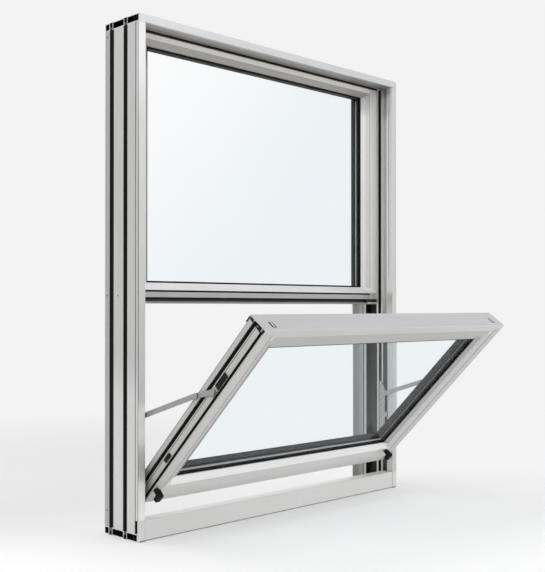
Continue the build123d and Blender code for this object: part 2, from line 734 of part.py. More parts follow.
def build_stays():
    """The stay on each side: a bracket on the jamb, a bar, and a link to the sash."""
    low = (stay_low_y, stay_low_height)
    elbow = (-stay_elbow_reach, stay_elbow_height)
    high = sash_point(stay_sash_depth, stay_sash_rise)
    bar_x = -inner_x + bracket_thickness + seat_gap
    link_x = bar_x + stay_bar_thickness + seat_gap
    bracket = bracket_piece(bar_x)
    bar = link(low, elbow, bar_x, stay_bar_width, stay_bar_thickness)
    arm = link(elbow, high, link_x, stay_bar_width, stay_bar_thickness)
    pins = [x_pin(bar_x, link_x + stay_bar_thickness, *elbow, stay_pin_radius),
            x_pin(link_x, -lower_width / 2 - slider_thickness, *high, stay_pin_radius)]
    for name, pieces in {"stay_brackets": [bracket], "stay_bars": [bar], "stay_links": [arm],
                         "stay_pins": pins}.items():
        write(name, pieces + mirrored(pieces))
    shoe = block(-half_width + frame_wall + seat_gap, pocket_y - pocket_width / 2 + seat_gap,
                 pivot_height - shoe_height / 2, -inner_x, pocket_y + pocket_width / 2 - seat_gap,
                 pivot_height + shoe_height / 2)
    shoe -= x_pin(-half_width, -inner_x, pocket_y, pivot_height, pivot_pin_radius + stay_pin_gap)
    write("pivot_shoes", [shoe] + mirrored([shoe]))


build_jambs()
build_head()
build_sill()
build_upper_sash()
build_lower_sash()
build_stays()
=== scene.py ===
"""Looks of a vertical sliding window, dressed over its packed aluminium frame.

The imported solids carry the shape. This file gives every piece its finish, adds the small
fixings that only the eye needs, and sets up a plain white studio with the photograph's view.
All lengths are in metres. +X is the width, -Y is the room, +Z is up.
"""

from __future__ import annotations

import logging
import math
from abc import ABC, abstractmethod
from collections.abc import Callable, Iterable, Sequence
from dataclasses import dataclass
from enum import Enum
from functools import partial

import bpy
import numpy as np
from mathutils import Matrix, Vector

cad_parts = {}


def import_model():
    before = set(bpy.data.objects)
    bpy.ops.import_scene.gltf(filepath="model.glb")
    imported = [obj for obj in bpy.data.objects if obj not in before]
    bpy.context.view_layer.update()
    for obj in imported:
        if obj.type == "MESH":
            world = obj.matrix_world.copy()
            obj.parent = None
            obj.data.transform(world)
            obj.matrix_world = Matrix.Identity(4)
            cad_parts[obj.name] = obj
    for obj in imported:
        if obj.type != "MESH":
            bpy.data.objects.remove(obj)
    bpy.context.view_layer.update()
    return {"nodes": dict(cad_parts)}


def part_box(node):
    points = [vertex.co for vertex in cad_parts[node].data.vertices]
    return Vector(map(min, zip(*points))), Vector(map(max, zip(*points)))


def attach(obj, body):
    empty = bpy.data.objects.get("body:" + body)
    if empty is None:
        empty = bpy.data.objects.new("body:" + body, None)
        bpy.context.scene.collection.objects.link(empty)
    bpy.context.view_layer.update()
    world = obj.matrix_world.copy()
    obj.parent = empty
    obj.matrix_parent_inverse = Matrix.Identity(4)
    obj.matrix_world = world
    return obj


LOG = logging.getLogger("window")
BODY = "root"
LEAN = -math.pi / 4
Socket = bpy.types.NodeSocket
Tree = bpy.types.NodeTree
Material = bpy.types.Material
Value = Socket | float | tuple[float, ...]
Span = tuple[float, float]
Triple = tuple[float, float, float]
Finishes = tuple[tuple[str, "Run", tuple[str, ...]], ...]


class Run(Enum):
    """Which way an extrusion runs, as the turn that lays its length along the pattern's X."""

    ACROSS = (0.0, 0.0, 0.0)
    UPRIGHT = (0.0, math.pi / 2, 0.0)
    LEANING = (LEAN, math.pi / 2, 0.0)


class Board:
    """Adds and links shader nodes in one node tree."""

    def __init__(self, tree: Tree) -> None:
        """Empties the tree of a material, a lamp, a world or a group."""
        self.tree = tree
        self.tree.nodes.clear()

    def feed(self, target: Socket, value: Value) -> None:
        """Links a socket to target, or writes a number or colour on it.

        Args:
            target: the input.
            value: a socket, a number, or a tuple of numbers.
        """
        if isinstance(value, Socket):
            self.tree.links.new(value, target)
        elif isinstance(value, tuple) and len(value) == 3 and target.type == "RGBA":
            target.default_value = (*value, 1.0)
        else:
            target.default_value = value

    def add(self, kind: str, inputs: dict[str | int, Value] | None = None,
            **settings: object) -> bpy.types.Node:
        """Adds one node.

        Args:
            kind: the node's type, without the leading ShaderNode.
            inputs: values or sockets for its inputs, by name or number.
            **settings: properties of the node, set before its inputs.

        Returns:
            The new node.
        """
        node = self.tree.nodes.new(kind if kind.startswith("Node") else f"ShaderNode{kind}")
        for name, setting in settings.items():
            setattr(node, name, setting)
        for key, value in (inputs or {}).items():
            self.feed(node.inputs[key], value)
        return node

    def math(self, operation: str, *values: Value) -> Socket:
        """Output of a Math node on the values."""
        return self.add("Math", dict(enumerate(values)), operation=operation).outputs[0]

    def weighted(self, first: Value, first_share: float, second: Value, second_share: float) -> Socket:
        """Sum of two values, each times its own share."""
        return self.math("ADD", self.math("MULTIPLY", first, first_share),
                         self.math("MULTIPLY", second, second_share))

    def ramp(self, value: Value, low: Value, high: Value, to_low: float = 0.0,
             to_high: float = 1.0) -> Socket:
        """Maps value from low..high to to_low..to_high along a smooth step."""
        ends = {0: value, 1: low, 2: high, 3: to_low, 4: to_high}
        return self.add("MapRange", ends, interpolation_type="SMOOTHSTEP").outputs[0]

    def mix(self, factor: Value, first: Value, second: Value) -> Socket:
        """Colour between first, where factor is zero, and second, where it is one."""
        return self.add("Mix", {0: factor, 6: first, 7: second}, data_type="RGBA").outputs[2]

    def noise(self, vector: Value, scale: Value, detail: float = 2.0, rough: float = 0.5) -> Socket:
        """Value of a noise texture."""
        inputs = {"Vector": vector, "Scale": scale, "Detail": detail, "Roughness": rough}
        return self.add("TexNoise", inputs).outputs[0]

    def stretch(self, vector: Value, factors: Triple) -> Socket:
        """Vector with each part multiplied by its own factor."""
        return self.add("VectorMath", {0: vector, 1: factors}, operation="MULTIPLY").outputs[0]

    def bump(self, strength: float, distance: float, height: Value, normal: Value) -> Socket:
        """Normal bent by a height."""
        inputs = {"Strength": strength, "Distance": distance, "Height": height, "Normal": normal}
        return self.add("Bump", inputs).outputs[0]

    def shared(self, tree: Tree, **inputs: Value) -> Sequence[Socket]:
        """Outputs of a shared group, placed here with its own values."""
        return self.add("Group", inputs, node_tree=tree).outputs

    def principled(self, inputs: dict[str | int, Value]) -> None:
        """Principled shader on the material's output."""
        self.add("OutputMaterial", {"Surface": self.add("BsdfPrincipled", inputs).outputs[0]})


def new_group(name: str, inputs: dict[str, float | None],
              outputs: dict[str, str]) -> tuple[Board, dict[str, Socket]]:
    """Makes a shader node group.

    Args:
        name: the group's name.
        inputs: default of each input by name, None for a vector.
        outputs: kind of each output by name, Float or Vector.

    Returns:
        A board on the group, and the sockets of its inputs by name.
    """
    tree = bpy.data.node_groups.new(name, "ShaderNodeTree")
    for key, value in inputs.items():
        kind = "NodeSocketVector" if value is None else "NodeSocketFloat"
        socket = tree.interface.new_socket(key, in_out="INPUT", socket_type=kind)
        if value is not None:
            socket.default_value = value
    for key, kind in outputs.items():
        tree.interface.new_socket(key, in_out="OUTPUT", socket_type=f"NodeSocket{kind}")
    board = Board(tree)
    start = board.add("NodeGroupInput")
    return board, {key: start.outputs[key] for key in inputs}


def close_group(board: Board, outputs: dict[str | int, Value]) -> Tree:
    """Links the group's outputs and returns the group."""
    board.add("NodeGroupOutput", outputs)
    return board.tree


class Effects:
    """Node groups that several finishes share. Each is built once."""

    def __init__(self) -> None:
        """Builds the groups."""
        self.grain = self.build_grain()
        self.edge = self.build_edge()
        self.pebble = self.build_pebble()
        self.box = self.build_box()

    def build_grain(self) -> Tree:
        """Lines that a die leaves along an extrusion, with a slow change of tone over it.

        Two noises are stretched along the pattern's X, one fine and one coarse, and their
        weighted mean is the line value. Tone is a broad cloud, also stretched along X.

        Returns:
            The group.
        """
        line_stretch, tone_stretch = (0.012, 1.0, 1.0), (0.35, 1.0, 1.0)
        fine_share, coarse_share = 0.55, 0.45
        fine_detail, coarse_detail = 2.0, 3.0
        tone_noise = (5.5, 3.0)
        contrast = (0.3, 0.7)
        board, at = new_group("Drawn grain", {"Vector": None, "Fine": 1400.0, "Coarse": 210.0},
                              {"Lines": "Float", "Tone": "Float"})
        long = board.stretch(at["Vector"], line_stretch)
        fine = board.noise(long, at["Fine"], fine_detail)
        coarse = board.noise(long, at["Coarse"], coarse_detail)
        lines = board.weighted(fine, fine_share, coarse, coarse_share)
        tone = board.noise(board.stretch(at["Vector"], tone_stretch), *tone_noise)
        shown = {"Lines": board.ramp(lines, *contrast), "Tone": board.ramp(tone, *contrast)}
        return close_group(board, shown)

    def build_edge(self) -> Tree:
        """Where an edge is painted bright: partly wear, partly a painted highlight.

        The bevelled normal differs from the true one near an edge. One minus their dot
        product, scaled and broken up by noise, is the mask.

        Returns:
            The group.
        """
        bend, break_up_noise, break_up_contrast, least_break_up = (0.015, 0.22), (60.0, 3.0), (0.3, 0.65), 0.35
        board, at = new_group("Worn and highlighted edge", {"Vector": None, "Radius": 0.0009},
                              {"Mask": "Float", "Normal": "Vector"})
        bevel = board.add("Bevel", {"Radius": at["Radius"]}, samples=6)
        plain = board.add("NewGeometry")
        dot = board.add("VectorMath", {0: bevel.outputs[0], 1: plain.outputs["True Normal"]},
                        operation="DOT_PRODUCT")
        near = board.ramp(board.math("SUBTRACT", 1.0, dot.outputs["Value"]), *bend)
        patchy = board.ramp(board.noise(at["Vector"], *break_up_noise), *break_up_contrast, least_break_up, 1.0)
        mask = board.math("MULTIPLY", near, patchy)
        return close_group(board, {"Mask": mask, "Normal": bevel.outputs[0]})

    def build_pebble(self) -> Tree:
        """Fine pebbled skin of moulded plastic and rubber, with dust that gathers in patches.

        The skin's height is the smoothed distance to the nearest cell point. Dust is a cloud
        noise cut off below and above.

        Returns:
            The group.
        """
        dust_noise, dust_contrast = (38.0, 5.0, 0.6), (0.42, 0.75)
        board, at = new_group("Pebbled skin", {"Vector": None, "Grain": 1500.0},
                              {"Height": "Float", "Dust": "Float"})
        cells = board.add("TexVoronoi", {"Vector": at["Vector"], "Scale": at["Grain"]}, feature="SMOOTH_F1")
        dust = board.ramp(board.noise(at["Vector"], *dust_noise), *dust_contrast)
        return close_group(board, {"Height": cells.outputs[0], "Dust": dust})

    def build_box(self) -> Tree:
        """One inside a box and zero outside, the same on both sides of the window.

        The point is first moved to the centre and turned about X. The box lies between Low
        and High there, with X taken as its distance from the middle. Its ends along Z fade
        over twice the Fade length.

        Returns:
            The group.
        """
        board, at = new_group("Box mask", {"Vector": None, "Centre": None, "Turn": 0.0, "Low": None,
                                           "High": None, "Fade": 0.0001}, {"Mask": "Float"})
        moved = board.add("VectorMath", {0: at["Vector"], 1: at["Centre"]}, operation="SUBTRACT")
        turned = board.add("VectorRotate", {"Vector": moved.outputs[0], "Angle": at["Turn"]},
                           rotation_type="X_AXIS")
        point, low, high = (board.add("SeparateXYZ", {0: vector}).outputs
                            for vector in (turned.outputs[0], at["Low"], at["High"]))
        foot, tip = ([board.math(way, end[2], at["Fade"]) for way in ("SUBTRACT", "ADD")]
                     for end in (low, high))
        mask = board.math("MULTIPLY", board.ramp(point[2], *foot), board.ramp(point[2], *tip, 1.0, 0.0))
        for value, first, last in zip((board.math("ABSOLUTE", point[0]), point[1]), low, high):
            inside = board.math("MULTIPLY", board.math("GREATER_THAN", value, first),
                                board.math("LESS_THAN", value, last))
            mask = board.math("MULTIPLY", mask, inside)
        return close_group(board, {"Mask": mask})


@dataclass(frozen=True)
class Patch:
    """Part of a surface with its own tone, or with painted light or shade: a box, its colours and how
    strongly they show.

    The box is a range along each axis, counted from the centre after a turn about X. Streak
    is the colour on the drawn lines. Matt is how far the metal scatters light instead of
    mirroring it. Fade is how far the box's ends along Z fade, each way.
    """

    x: Span
    y: Span
    z: Span
    colour: Triple
    streak: Triple
    share: float = 1.0
    matt: float = 0.0
    fade: float = 0.0001
    centre: Triple = (0.0, 0.0, 0.0)
    turn: float = 0.0


@dataclass(frozen=True)
class Finish(ABC):
    """What every finish has in common."""

    name: str
    effects: Effects
    run: Run

    @abstractmethod
    def material(self) -> Material:
        """Builds the finish."""

    def start(self) -> tuple[Material, Board, Socket]:
        """Makes an empty material.

        Returns:
            The material, its board, and object coordinates with the run along X.
        """
        material = bpy.data.materials.new(self.name)
        material.use_nodes = True
        board = Board(material.node_tree)
        where = board.add("TexCoord").outputs["Object"]
        turned = board.add("Mapping", {"Vector": where, "Rotation": self.run.value})
        return material, board, turned.outputs[0]

    def patched(self, board: Board, colour: Value, lines: Value,
                patches: Iterable[Patch]) -> tuple[Value, Value]:
        """Lays patches over a colour, each streaked along the lines.

        Args:
            board: the material's board.
            colour: the colour outside the patches.
            lines: the drawn lines.
            patches: the patches, the topmost last.

        Returns:
            The whole colour, and how matt the patches are.
        """
        where = board.add("TexCoord").outputs["Object"]
        matt = 0.0
        for patch in patches:
            low, high = zip(patch.x, patch.y, patch.z)
            box = board.shared(self.effects.box, Vector=where, Centre=patch.centre, Turn=patch.turn,
                               Low=low, High=high, Fade=patch.fade)["Mask"]
            inside = board.math("MULTIPLY", box, patch.share)
            colour = board.mix(inside, colour, board.mix(lines, patch.colour, patch.streak))
            if patch.matt:
                matt = board.math("MAXIMUM", matt, board.math("MULTIPLY", box, patch.matt))
        return colour, matt


@dataclass(frozen=True)
class Aluminium(Finish):
    """Satin extruded aluminium with drawn lines, edges painted lighter as wear and as a painted highlight,
    and patches of tone, most of them painted light or shade.
    """

    light: Triple = (0.725, 0.720, 0.707)
    dark: Triple = (0.585, 0.580, 0.567)
    wear_and_highlight: Triple = (0.80, 0.80, 0.79)
    wear_and_highlight_share: float = 0.55
    line_share: float = 0.45
    tone_share: float = 0.55
    roughness: Span = (0.42, 0.58)
    metallic: float = 0.72
    relief: Span = (0.10, 0.0003)
    patches: tuple[Patch, ...] = ()

    def material(self) -> Material:
        """Builds the finish.

        Returns:
            The material.
        """
        material, board, at = self.start()
        grain = board.shared(self.effects.grain, Vector=at)
        edge = board.shared(self.effects.edge, Vector=at)
        lines = grain["Lines"]
        both = board.weighted(lines, self.line_share, grain["Tone"], self.tone_share)
        colour = board.mix(both, self.dark, self.light)
        # Edges are painted lighter: partly wear, partly a painted highlight.
        colour = board.mix(board.math("MULTIPLY", edge["Mask"], self.wear_and_highlight_share), colour, self.wear_and_highlight)
        colour, matt = self.patched(board, colour, lines, self.patches)
        metallic = self.metallic
        if isinstance(matt, Socket):
            metallic = board.ramp(matt, 0.0, 1.0, self.metallic, 0.0)
        board.principled({"Base Color": colour, "Metallic": metallic,
                          "Roughness": board.ramp(lines, 0.0, 1.0, *self.roughness),
                          "Normal": board.bump(*self.relief, lines, edge["Normal"])})
        return material


@dataclass(frozen=True)
class Steel(Finish):
    """Brushed stainless steel of the stays."""

    light: Triple = (0.46, 0.46, 0.45)
    dark: Triple = (0.30, 0.30, 0.29)
    wear_and_highlight: Triple = (0.78, 0.78, 0.77)
    wear_and_highlight_share: float = 0.6
    edge_radius: float = 0.0006
    brush: Span = (2600.0, 500.0)
    roughness: Span = (0.24, 0.40)
    relief: Span = (0.12, 0.0002)

    def material(self) -> Material:
        """Builds the finish.

        Returns:
            The material.
        """
        material, board, at = self.start()
        fine, coarse = self.brush
        grain = board.shared(self.effects.grain, Vector=at, Fine=fine, Coarse=coarse)
        edge = board.shared(self.effects.edge, Vector=at, Radius=self.edge_radius)
        lines = grain["Lines"]
        colour = board.mix(lines, self.dark, self.light)
        # Edges are painted lighter: partly wear, partly a painted highlight.
        colour = board.mix(board.math("MULTIPLY", edge["Mask"], self.wear_and_highlight_share), colour, self.wear_and_highlight)
        board.principled({"Base Color": colour, "Metallic": 1.0,
                          "Roughness": board.ramp(lines, 0.0, 1.0, *self.roughness),
                          "Normal": board.bump(*self.relief, lines, edge["Normal"])})
        return material


@dataclass(frozen=True)
class Moulded(Finish):
    """Black rubber or plastic with a pebbled skin, faint lines under it, a little dust, and edges painted
    lighter as wear and as a painted highlight.
    """

    colour: Triple
    dusty: Triple
    grain: float
    roughness: Span
    lined: float
    patches: tuple[Patch, ...] = ()
    shine: float = 0.08
    edge_radius: float = 0.0006
    drawn: Span = (900.0, 260.0)
    dust_share: float = 0.45
    edge_wear_and_highlight_share: float = 0.6
    line_share: float = 0.5
    skin_share: float = 0.4
    relief: Span = (0.22, 0.0003)

    def material(self) -> Material:
        """Builds the finish.

        Returns:
            The material.
        """
        material, board, at = self.start()
        fine, coarse = self.drawn
        skin = board.shared(self.effects.pebble, Vector=at, Grain=self.grain)
        grain = board.shared(self.effects.grain, Vector=at, Fine=fine, Coarse=coarse)
        edge = board.shared(self.effects.edge, Vector=at, Radius=self.edge_radius)
        lines = board.math("MULTIPLY", grain["Lines"], self.lined)
        # Dust and lines, with edges painted lighter: partly wear, partly a painted highlight.
        dust_and_highlight = board.math("MAXIMUM", board.math("MULTIPLY", skin["Dust"], self.dust_share),
                          board.math("MULTIPLY", edge["Mask"], self.edge_wear_and_highlight_share))
        dust = board.math("MAXIMUM", dust_and_highlight, board.math("MULTIPLY", lines, self.line_share))
        colour, _ = self.patched(board, board.mix(dust, self.colour, self.dusty), lines, self.patches)
        height = board.math("ADD", board.math("MULTIPLY", skin["Height"], self.skin_share), lines)
        board.principled({"Base Color": colour, "Specular IOR Level": self.shine,
                          "Roughness": board.ramp(skin["Dust"], 0.0, 1.0, *self.roughness),
                          "Normal": board.bump(*self.relief, height, edge["Normal"])})
        return material


@dataclass(frozen=True)
class Glass(Finish):
    """Clear float glass with a faint cool tint, deeper to the right and below, and a trace of smears.

    The tint deepens with x - drop * z, stirred by a broad noise. Lamps shine through the
    glass, so it throws no dark shadow. A noise is given by its scale, detail and roughness.
    """

    tint: Triple = (0.993, 0.997, 1.0)
    deep_tint: Triple = (0.932, 0.960, 0.973)
    shadow_tint: Triple = (0.97, 0.985, 0.99)
    drop: float = 0.9
    stir: float = 0.3
    tint_range: Span = (-1.15, -0.55)
    tint_noise: Triple = (1.9, 1.0, 0.4)
    smear_noise: Triple = (9.0, 4.0, 0.6)
    smear_stretch: Triple = (1.0, 1.0, 0.4)
    smear_range: Span = (0.35, 0.8)
    smear_roughness: float = 0.012
    refraction: float = 1.08

    def material(self) -> Material:
        """Builds the finish.

        Returns:
            The material.
        """
        material, board, at = self.start()
        smear = board.noise(board.stretch(at, self.smear_stretch), *self.smear_noise)
        roughness = board.ramp(board.ramp(smear, *self.smear_range), 0.0, 1.0, 0.0, self.smear_roughness)
        part = board.add("SeparateXYZ", {0: at}).outputs
        across = board.math("MULTIPLY_ADD", part[2], -self.drop, part[0])
        cloud = board.math("MULTIPLY_ADD", board.noise(at, *self.tint_noise), self.stir, across)
        colour = board.mix(board.ramp(cloud, *self.tint_range), self.tint, self.deep_tint)
        glass = board.add("BsdfPrincipled", {
            "Base Color": colour, "Metallic": 0.0, "Roughness": roughness, "IOR": self.refraction,
            "Transmission Weight": 1.0})
        clear = board.add("BsdfTransparent", {"Color": self.shadow_tint})
        shadow = board.add("LightPath").outputs["Is Shadow Ray"]
        shown = board.add("MixShader", {0: shadow, 1: glass.outputs[0], 2: clear.outputs[0]})
        board.add("OutputMaterial", {"Surface": shown.outputs[0]})
        return material


def grey(level: float) -> Triple:
    """Neutral colour of one level."""
    return (level, level, level)


# Ranges and tones that patches share. X is the distance from the window's middle, to either side.
OUTER_X = (0.4690, 0.4710)
FLANGE_X = (0.4515, 0.4710)
TRACK_X = (0.4522, 0.4684)
POCKET_X = (0.4500, 0.4684)
BOX_X = (0.4500, 0.4521)
HEAD_X = (0.0, 0.4520)
GROOVE_X = (0.0, 0.41)
RAIL_X = (0.0, 0.4209)
TRACK_Y = (-0.0071, 0.0351)
OUTDOOR_Y = (0.0499, 0.0641)
CORNER_Y = (-0.0658, -0.0630)
SIDE_Y = (-0.0628, 0.0670)
ROOM_Y = (-0.0670, -0.0650)
APRON_Y = (-0.0670, -0.0640)
POCKET_Y = (-0.0600, -0.0239)
SASH_Y = (-0.0080, -0.0060)
BEAD_Y = (-0.0080, 0.0080)
FULL_Z = (0.0, 1.20)
BOX_Z = (0.62, 1.14)
SASH_Z = (0.5735, 1.19)
SOFFIT_Z = (1.1815, 1.1825)
# Painted shade tones of the gap under the head.
GAP_SHADE_TONES = ((0.030, 0.027, 0.023), (0.065, 0.058, 0.050))
RUBBER_TONES = ((0.055, 0.059, 0.062), (0.085, 0.090, 0.093))
LINE_TONES = (grey(0.10), grey(0.22))
FOOT_TONES = (grey(0.05), grey(0.12))
BLACK_TONES = (grey(0.008), grey(0.02))

# The jambs.
# Painted shade: the inside of the jamb's track, near black.
TRACK = Patch(TRACK_X, TRACK_Y, (0.0, 1.19), (0.006, 0.006, 0.005), (0.045, 0.043, 0.040))
# Painted shade low in the pocket and painted light higher up, with a painted brownish reflection and painted
# shade near its top.
POCKET_LOW_SHADE = Patch(TRACK_X, (-0.0461, -0.0289), (0.0, 0.56), (0.10, 0.096, 0.090), (0.22, 0.21, 0.20), 0.6)
POCKET_HIGH_LIGHT = Patch((0.4515, 0.4684), (-0.0461, -0.0239), (0.50, 1.19), (0.78, 0.775, 0.76),
                    (0.90, 0.895, 0.88), 0.7, matt=0.7)
POCKET_UNDER_REFLECTION = Patch(POCKET_X, POCKET_Y, (1.10, 1.165), (0.36, 0.33, 0.30), (0.72, 0.70, 0.67), 0.6,
                     fade=0.015)
POCKET_TOP_SHADE = Patch(POCKET_X, POCKET_Y, (1.160, 1.19), (0.20, 0.18, 0.16), (0.36, 0.33, 0.30), 0.7, fade=0.012)
# Painted light on the box's inner face, with a painted highlight line and a painted shade line beside it.
BOX_SIDE_LIGHT = Patch(BOX_X, (-0.0665, -0.0460), (0.574, 1.19), (0.80, 0.80, 0.79), (0.90, 0.90, 0.89), 0.9,
                 matt=0.8, fade=0.012)
BOX_LIGHT = Patch(BOX_X, (-0.0512, -0.0460), BOX_Z, (0.95, 0.96, 0.96), (0.98, 0.99, 0.99),
                  matt=1.0, fade=0.03)
BOX_SHADE_LINE = Patch(BOX_X, (-0.0540, -0.0512), BOX_Z, grey(0.26), grey(0.38), 0.85, fade=0.03)
# Painted shade over the jambs' outer side faces, painted lighter towards the bottom.
SIDES = Patch(OUTER_X, SIDE_Y, FULL_Z, (0.44, 0.437, 0.43), (0.58, 0.577, 0.565), 0.65)
SIDES_LOW_LIGHT = Patch(OUTER_X, SIDE_Y, (0.0, 0.37), (0.66, 0.65, 0.645), (0.78, 0.77, 0.765), 0.75, fade=0.05)
CORNER_LINE = Patch(OUTER_X, CORNER_Y, FULL_Z, grey(0.10), grey(0.24), 0.6)
CORNER_LOW = Patch(OUTER_X, CORNER_Y, (0.0, 0.90), grey(0.03), grey(0.10), 0.85, fade=0.15)
# Painted shade on the back strip of the jambs' outer faces.
BACK_STRIP_SHADE = Patch(OUTER_X, (0.0481, 0.0655), FULL_Z, (0.36, 0.35, 0.34), (0.46, 0.455, 0.45), 0.8)
STRIP_EDGE = Patch(OUTER_X, (0.0308, 0.0352), FULL_Z, (0.006, 0.006, 0.005), grey(0.02))
HEAD_SEAM = Patch((0.4500, 0.4710), (-0.0670, -0.0600), (1.1812, 1.1821), *FOOT_TONES, 0.8)
# Painted shade: the inside of the jamb's box at its foot, and the step's end there, near black.
NOTCH_SHADE = Patch((0.4500, 0.4690), (-0.0625, -0.0300), (0.0175, 0.0485), grey(0.008), (0.09, 0.088, 0.085))
JAMB_PATCHES = (TRACK, POCKET_LOW_SHADE, POCKET_HIGH_LIGHT, BOX_SIDE_LIGHT, BOX_LIGHT, BOX_SHADE_LINE, POCKET_UNDER_REFLECTION, POCKET_TOP_SHADE,
                SIDES, SIDES_LOW_LIGHT, CORNER_LINE, CORNER_LOW, BACK_STRIP_SHADE, STRIP_EDGE, HEAD_SEAM, NOTCH_SHADE)
# Painted light on the left jamb's front flange: a painted highlight near its top and lighter bands low down.
FLANGE_TOP_LIGHT = Patch(FLANGE_X, ROOM_Y, (1.02, 1.20), (0.78, 0.785, 0.79), (0.88, 0.885, 0.89), 0.8,
                   matt=0.3, fade=0.09)
FLANGE_LOW_LIGHT = Patch(FLANGE_X, ROOM_Y, (0.215, 0.315), (0.76, 0.75, 0.745), (0.86, 0.85, 0.845), 0.8,
                   matt=0.75, fade=0.03)
FLANGE_FOOT_LIGHT = Patch(FLANGE_X, ROOM_Y, (0.0, 0.140), (0.80, 0.79, 0.785), (0.90, 0.89, 0.885), 0.8,
                    matt=0.75, fade=0.012)

# The head and the sill.
# Painted shade on the head's soffit: brownish, darker at its back.
SOFFIT = Patch(HEAD_X, (-0.0560, -0.0200), SOFFIT_Z, (0.365, 0.345, 0.315), (0.465, 0.445, 0.415), 0.8)
SOFFIT_BACK_SHADE = Patch(HEAD_X, (-0.0360, -0.0195), SOFFIT_Z, (0.16, 0.15, 0.13), (0.27, 0.25, 0.22), 0.7)
# Painted shade in the gap under the head, also laid over the head's thermal strip.
HEAD_GAP_SHADE = Patch(HEAD_X, (-0.0198, -0.0060), (1.1815, 1.1990), *GAP_SHADE_TONES)
HEAD_STRIP_SHADE = Patch(HEAD_X, (-0.0210, -0.0050), (1.1750, 1.1990), *GAP_SHADE_TONES)
HEAD_FACE = Patch((0.0, 0.4710), ROOM_Y, (1.1815, 1.2010), (0.585, 0.593, 0.603), (0.69, 0.698, 0.708), 0.9)
# Painted shadow: a dark line along the apron's foot, where it meets the floor.
APRON_FOOT_SHADOW = Patch((0.0, 0.4670), APRON_Y, (0.0, 0.0033), *FOOT_TONES, 0.8)
APRON_END = Patch((0.4506, 0.4518), APRON_Y, (0.0, 0.0490), grey(0.25), grey(0.35), 0.6)


def insides(room_y: Span, z: Span) -> tuple[Patch, ...]:
    """Painted shade, near black, inside the three hollow extrusions of the head or sill, seen at their open
    ends.
    """
    return tuple(Patch((0.0, 0.4710), y, z, (0.006, 0.0055, 0.005), (0.034, 0.032, 0.029))
                 for y in (room_y, TRACK_Y, OUTDOOR_Y))


HEAD_INSIDE_SHADE = insides((-0.0641, -0.0219), (1.1839, 1.1981))
SILL_INSIDE_SHADE = insides((-0.0601, -0.0219), (0.0019, 0.0161))

# The upper sash.
# Painted shade on the meeting rail: near black in its two grooves, darker on its lip and its flat.
GROOVE_LIP_SHADE = Patch(GROOVE_X, (-0.0072, -0.0062), (0.5410, 0.5456), (0.27, 0.262, 0.253), (0.36, 0.355, 0.345))
GROOVE_FOOT_SHADE = Patch(GROOVE_X, (-0.0072, 0.0016), (0.5456, 0.5495), (0.06, 0.056, 0.052), (0.11, 0.105, 0.10))
LOW_GROOVE_SHADE = Patch(GROOVE_X, (-0.0062, 0.0016), (0.5495, 0.5562), (0.008, 0.008, 0.007),
                   (0.030, 0.028, 0.026))
SHADOW_GROOVE = Patch(RAIL_X, (-0.0062, -0.0020), (0.5682, 0.5731), grey(0.006), grey(0.02))
MEETING_FLAT_SHADE = Patch(RAIL_X, SASH_Y, (0.5562, 0.5682), (0.43, 0.425, 0.415), (0.53, 0.525, 0.515))
UPPER_STRIPE = Patch((0.0, 0.50), (0.0205, 0.0262), (0.0, 1.144), (0.32, 0.33, 0.33), (0.50, 0.51, 0.51))
# Painted light on the upper stiles' recessed room face.
UPPER_FLAT_LIGHT = Patch((0.4200, 0.4645), SASH_Y, SASH_Z, (0.68, 0.675, 0.66), (0.82, 0.815, 0.80), matt=1.0)
UPPER_LIP = Patch((0.0, 0.46), (0.0296, 0.0660), (0.55, 1.19), (0.048, 0.051, 0.053), (0.075, 0.079, 0.081))
# Painted shade along the upper stiles' outer edge, next to the jamb.
UPPER_EDGE_SHADE = Patch((0.4602, 0.4650), SASH_Y, SASH_Z, (0.12, 0.115, 0.11), (0.22, 0.215, 0.21))
UPPER_SEAM = Patch((0.4196, 0.4212), (-0.0080, -0.0055), (0.590, 1.168), grey(0.20), grey(0.32), 0.75)
# Painted shade on the upper sash's side beads, deeper near their top.
UPPER_BEAD_IN_SHADE = Patch((0.4080, 0.4210), BEAD_Y, (0.590, 1.166), (0.58, 0.575, 0.56), (0.68, 0.675, 0.66), 0.8)
BEAD_SHADE = Patch((0.3930, 0.4210), BEAD_Y, (1.11, 1.18), (0.38, 0.37, 0.355), (0.48, 0.47, 0.45), 0.6,
                   fade=0.025)
# Painted shade on the upper top bead under the head, and painted light on the top rail's flat.
HIGH_BEAD_IN_SHADE = Patch((0.0, 0.4080), (-0.0080, 0.0085), (1.1520, 1.1668), (0.405, 0.385, 0.36),
                  (0.53, 0.505, 0.475), 0.95)
HIGH_FLAT_LIGHT = Patch((0.0, 0.47), SASH_Y, (1.1660, 1.1810), (0.84, 0.82, 0.79), (0.95, 0.93, 0.90), matt=1.0)

# The leaning lower sash, measured in its own depth and height from its pivots.
Leaning = partial(Patch, centre=(0.0, -0.0375, 0.113), turn=LEAN)
STRIPE_X = (0.0, 0.374)
EDGE_X = (0.374, 0.50)
STILE_X = (0.4395, 0.4410)
STILE_Z = (-0.02, 0.5450)
FACE_Y = (-0.0290, -0.0120)
WHOLE_Z = (-0.1, 0.60)
LOWER_STRIPE = Leaning(STRIPE_X, (-0.0055, -0.0002), WHOLE_Z, (0.42, 0.43, 0.43), (0.60, 0.61, 0.61))
LOWER_GREY = Leaning(STRIPE_X, (-0.0002, 0.0035), WHOLE_Z, *RUBBER_TONES)
SIDE_DARK = Leaning(EDGE_X, (-0.0090, 0.0035), WHOLE_Z, grey(0.002), grey(0.006))
SIDE_LIGHT = Leaning(EDGE_X, (-0.0014, 0.0028), WHOLE_Z, (0.14, 0.145, 0.145), (0.20, 0.205, 0.205))
OUTDOOR_LIP = Leaning((0.0, 0.45), (0.0070, 0.0300), WHOLE_Z, *RUBBER_TONES)
